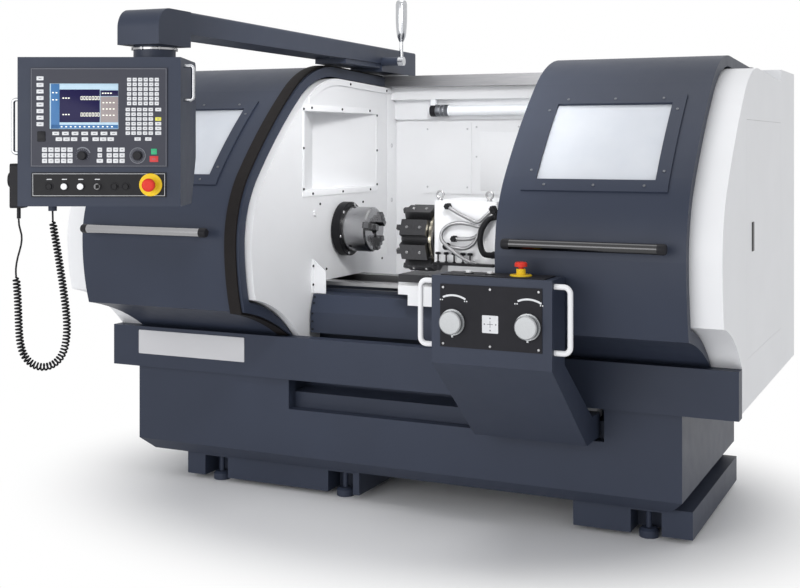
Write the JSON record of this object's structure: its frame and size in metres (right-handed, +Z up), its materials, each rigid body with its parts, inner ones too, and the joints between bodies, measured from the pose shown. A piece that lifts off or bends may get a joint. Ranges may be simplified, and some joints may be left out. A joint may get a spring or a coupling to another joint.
{
  "type": "cnc turning lathe",
  "caption": "Flat-bed turning lathe with sliding barrel doors, jaw chuck, tool turret, front control box on the carriage and a pendant panel on a swing arm.",
  "frame": {"origin": "on the floor, under the spindle axis, at mid length of the front sill", "axes": "+X along the spindle out of the chuck, +Y to the rear, +Z up"},
  "size_m": [2.903, 2.9085, 2.2773],
  "materials": {
    "dark_paint": "satin slate blue-grey enamel with a fine orange-peel texture",
    "white_paint": "satin white enamel on sheet and castings",
    "cast_iron": "machined cast iron, ground brown-grey on the ways",
    "pad_steel": "dark painted steel pads",
    "rail_aluminium": "plain drawn aluminium",
    "lamp": "milky tube with grey end caps",
    "window": "clear laminated safety pane",
    "seal": "brown-black rubber edge strip",
    "pull_chrome": "polished round bar",
    "chuck_steel": "turned and ground steel",
    "black_steel": "black-oxide steel with bright edges",
    "panel_black": "matt black overlay on a flat plate",
    "knob_aluminium": "turned aluminium knob",
    "white_button": "white lens button",
    "stop_yellow": "yellow ring and collar",
    "stop_red": "red mushroom head",
    "black_plastic": "moulded black plastic",
    "key_steel": "nickel-plated key and barrel",
    "hose": "flexible steel-clad hose with dark end fittings",
    "cord": "black curly cord"
  },
  "bodies": {
    "base": {"base_stand": "dark_paint", "levelling_pads": "pad_steel", "front_sill": "dark_paint", "bed": "cast_iron", "screw_guard": "dark_paint", "headstock": "cast_iron", "headstock_cover": "white_paint", "headstock_wall": "white_paint", "right_cover": "white_paint", "rear_wall": "white_paint", "top_rail": "rail_aluminium", "work_lamp": "lamp", "rear_cabinet": "white_paint"},
    "left_door": {"left_door": "dark_paint", "left_door_window": "window", "left_door_seal": "seal", "left_door_pull": "pull_chrome"},
    "right_door": {"right_door": "dark_paint", "right_door_window": "window", "right_door_pull": "pull_chrome"},
    "spindle": {"spindle": "black_steel", "chuck_backplate": "black_steel", "chuck_body": "chuck_steel"},
    "jaw_1": {"chuck_jaw_1": "chuck_steel"},
    "jaw_2": {"chuck_jaw_2": "chuck_steel"},
    "jaw_3": {"chuck_jaw_3": "chuck_steel"},
    "carriage": {"saddle": "white_paint", "apron_box": "dark_paint", "apron_panels": "panel_black", "apron_handles": "white_paint", "apron_stop_ring": "stop_yellow"},
    "z_handwheel": {"z_handwheel": "knob_aluminium"},
    "x_handwheel": {"x_handwheel": "knob_aluminium"},
    "apron_start_button": {"apron_start_button": "white_button"},
    "apron_hold_button": {"apron_hold_button": "white_button"},
    "apron_stop_button": {"apron_stop_button": "stop_red"},
    "cross_slide": {"cross_slide": "cast_iron", "turret_housing": "white_paint", "coolant_hoses": "hose"},
    "turret": {"turret_disc": "black_steel", "turret_tools": "black_steel"},
    "service_door": {"service_door": "white_paint"},
    "service_latch": {"service_latch": "panel_black"},
    "arm": {"pendant_arm": "dark_paint", "arm_head": "dark_paint"},
    "clamp_lever": {"clamp_lever": "pull_chrome"},
    "pendant": {"pendant_case": "dark_paint", "pendant_panel": "panel_black", "pendant_handles": "rail_aluminium", "pendant_stop_ring": "stop_yellow", "handheld_box": "black_plastic", "cord_coil": "cord", "cord_tail": "cord"},
    "pendant_stop_button": {"pendant_stop_button": "stop_red"},
    "feed_dial": {"feed_dial": "black_plastic"},
    "spindle_dial": {"spindle_dial": "black_plastic"},
    "key_switch": {"key_switch": "key_steel"},
    "pendant_button_1": {"pendant_button_1": "white_button"},
    "pendant_button_2": {"pendant_button_2": "white_button"},
    "handheld_dial": {"handheld_dial": "black_plastic"}
  },
  "joints": [
    {"name": "left_door_slide", "type": "slide", "parent": "base", "child": "left_door", "axis": [1, 0, 0], "range_m": [0, 0.55]},
    {"name": "right_door_slide", "type": "slide", "parent": "base", "child": "right_door", "axis": [1, 0, 0], "range_m": [-0.57, 0]},
    {"name": "spindle_spin", "type": "hinge", "parent": "base", "child": "spindle", "pos_m": [0, 0, 1.163], "axis": [1, 0, 0], "continuous": true},
    {"name": "jaw_1_slide", "type": "slide", "parent": "spindle", "child": "jaw_1", "axis": [0, -0.9659, 0.2588], "range_m": [-0.018, 0.018]},
    {"name": "jaw_2_slide", "type": "slide", "parent": "spindle", "child": "jaw_2", "axis": [0, 0.2588, -0.9659], "range_m": [-0.018, 0.018]},
    {"name": "jaw_3_slide", "type": "slide", "parent": "spindle", "child": "jaw_3", "axis": [0, 0.7071, 0.7071], "range_m": [-0.018, 0.018]},
    {"name": "carriage_slide", "type": "slide", "parent": "base", "child": "carriage", "axis": [1, 0, 0], "range_m": [-0.22, 0.02]},
    {"name": "z_handwheel_turn", "type": "hinge", "parent": "carriage", "child": "z_handwheel", "pos_m": [0.521, -1.03, 0.914], "axis": [0, -1, 0], "continuous": true},
    {"name": "x_handwheel_turn", "type": "hinge", "parent": "carriage", "child": "x_handwheel", "pos_m": [0.811, -1.03, 0.914], "axis": [0, -1, 0], "continuous": true},
    {"name": "apron_start_press", "type": "slide", "parent": "carriage", "child": "apron_start_button", "axis": [0, 0, -1], "range_m": [0, 0.003], "stiffness_N_per_m": 300},
    {"name": "apron_hold_press", "type": "slide", "parent": "carriage", "child": "apron_hold_button", "axis": [0, 0, -1], "range_m": [0, 0.003], "stiffness_N_per_m": 300},
    {"name": "apron_stop_press", "type": "slide", "parent": "carriage", "child": "apron_stop_button", "axis": [0, 0, -1], "range_m": [0, 0.006], "stiffness_N_per_m": 300},
    {"name": "cross_slide_travel", "type": "slide", "parent": "carriage", "child": "cross_slide", "axis": [0, 1, 0], "range_m": [-0.03, 0.15]},
    {"name": "turret_index", "type": "hinge", "parent": "cross_slide", "child": "turret", "pos_m": [0.012, -0.28, 1.156], "axis": [1, 0, 0], "continuous": true},
    {"name": "service_door_swing", "type": "hinge", "parent": "base", "child": "service_door", "pos_m": [1.45, 0.596, 1.2], "axis": [0, 0, 1], "range_deg": [0, 100]},
    {"name": "service_latch_pull", "type": "hinge", "parent": "service_door", "child": "service_latch", "pos_m": [1.45, -0.171, 1.255], "axis": [0, -1, 0], "range_deg": [0, 30]},
    {"name": "arm_swing", "type": "hinge", "parent": "base", "child": "arm", "pos_m": [-0.535, 0.693, 1.98], "axis": [0, 0, 1], "range_deg": [-75, 12]},
    {"name": "clamp_lever_turn", "type": "hinge", "parent": "arm", "child": "clamp_lever", "pos_m": [-0.34702, 0.34719, 1.9743], "axis": [0.9987, 0.0513, 0], "range_deg": [-40, 40]},
    {"name": "pendant_swivel", "type": "hinge", "parent": "arm", "child": "pendant", "pos_m": [-0.41914, -1.56303, 1.9], "axis": [0, 0, 1], "range_deg": [-45, 45]},
    {"name": "pendant_stop_press", "type": "slide", "parent": "pendant", "child": "pendant_stop_button", "axis": [-0.4242, 0.9056, 0], "range_m": [0, 0.006], "stiffness_N_per_m": 300},
    {"name": "feed_dial_turn", "type": "hinge", "parent": "pendant", "child": "feed_dial", "pos_m": [-0.57555, -1.7666, 1.525], "axis": [0.4242, -0.9056, 0], "range_deg": [-135, 135]},
    {"name": "spindle_dial_turn", "type": "hinge", "parent": "pendant", "child": "spindle_dial", "pos_m": [-0.40077, -1.68473, 1.525], "axis": [0.4242, -0.9056, 0], "range_deg": [-135, 135]},
    {"name": "key_switch_turn", "type": "hinge", "parent": "pendant", "child": "key_switch", "pos_m": [-0.52846, -1.74454, 1.417], "axis": [0.4242, -0.9056, 0], "range_deg": [-90, 0]},
    {"name": "pendant_button_1_press", "type": "slide", "parent": "pendant", "child": "pendant_button_1", "axis": [-0.4242, 0.9056, 0], "range_m": [0, 0.003], "stiffness_N_per_m": 300},
    {"name": "pendant_button_2_press", "type": "slide", "parent": "pendant", "child": "pendant_button_2", "axis": [-0.4242, 0.9056, 0], "range_m": [0, 0.003], "stiffness_N_per_m": 300},
    {"name": "handheld_dial_turn", "type": "hinge", "parent": "pendant", "child": "handheld_dial", "pos_m": [-0.85572, -1.80618, 1.438], "axis": [-0.9056, -0.4242, 0], "continuous": true}
  ],
  "couplings": [
    {"joint": "jaw_2_slide", "follows": "jaw_1_slide", "ratio": 1},
    {"joint": "jaw_3_slide", "follows": "jaw_1_slide", "ratio": 1}
  ]
}
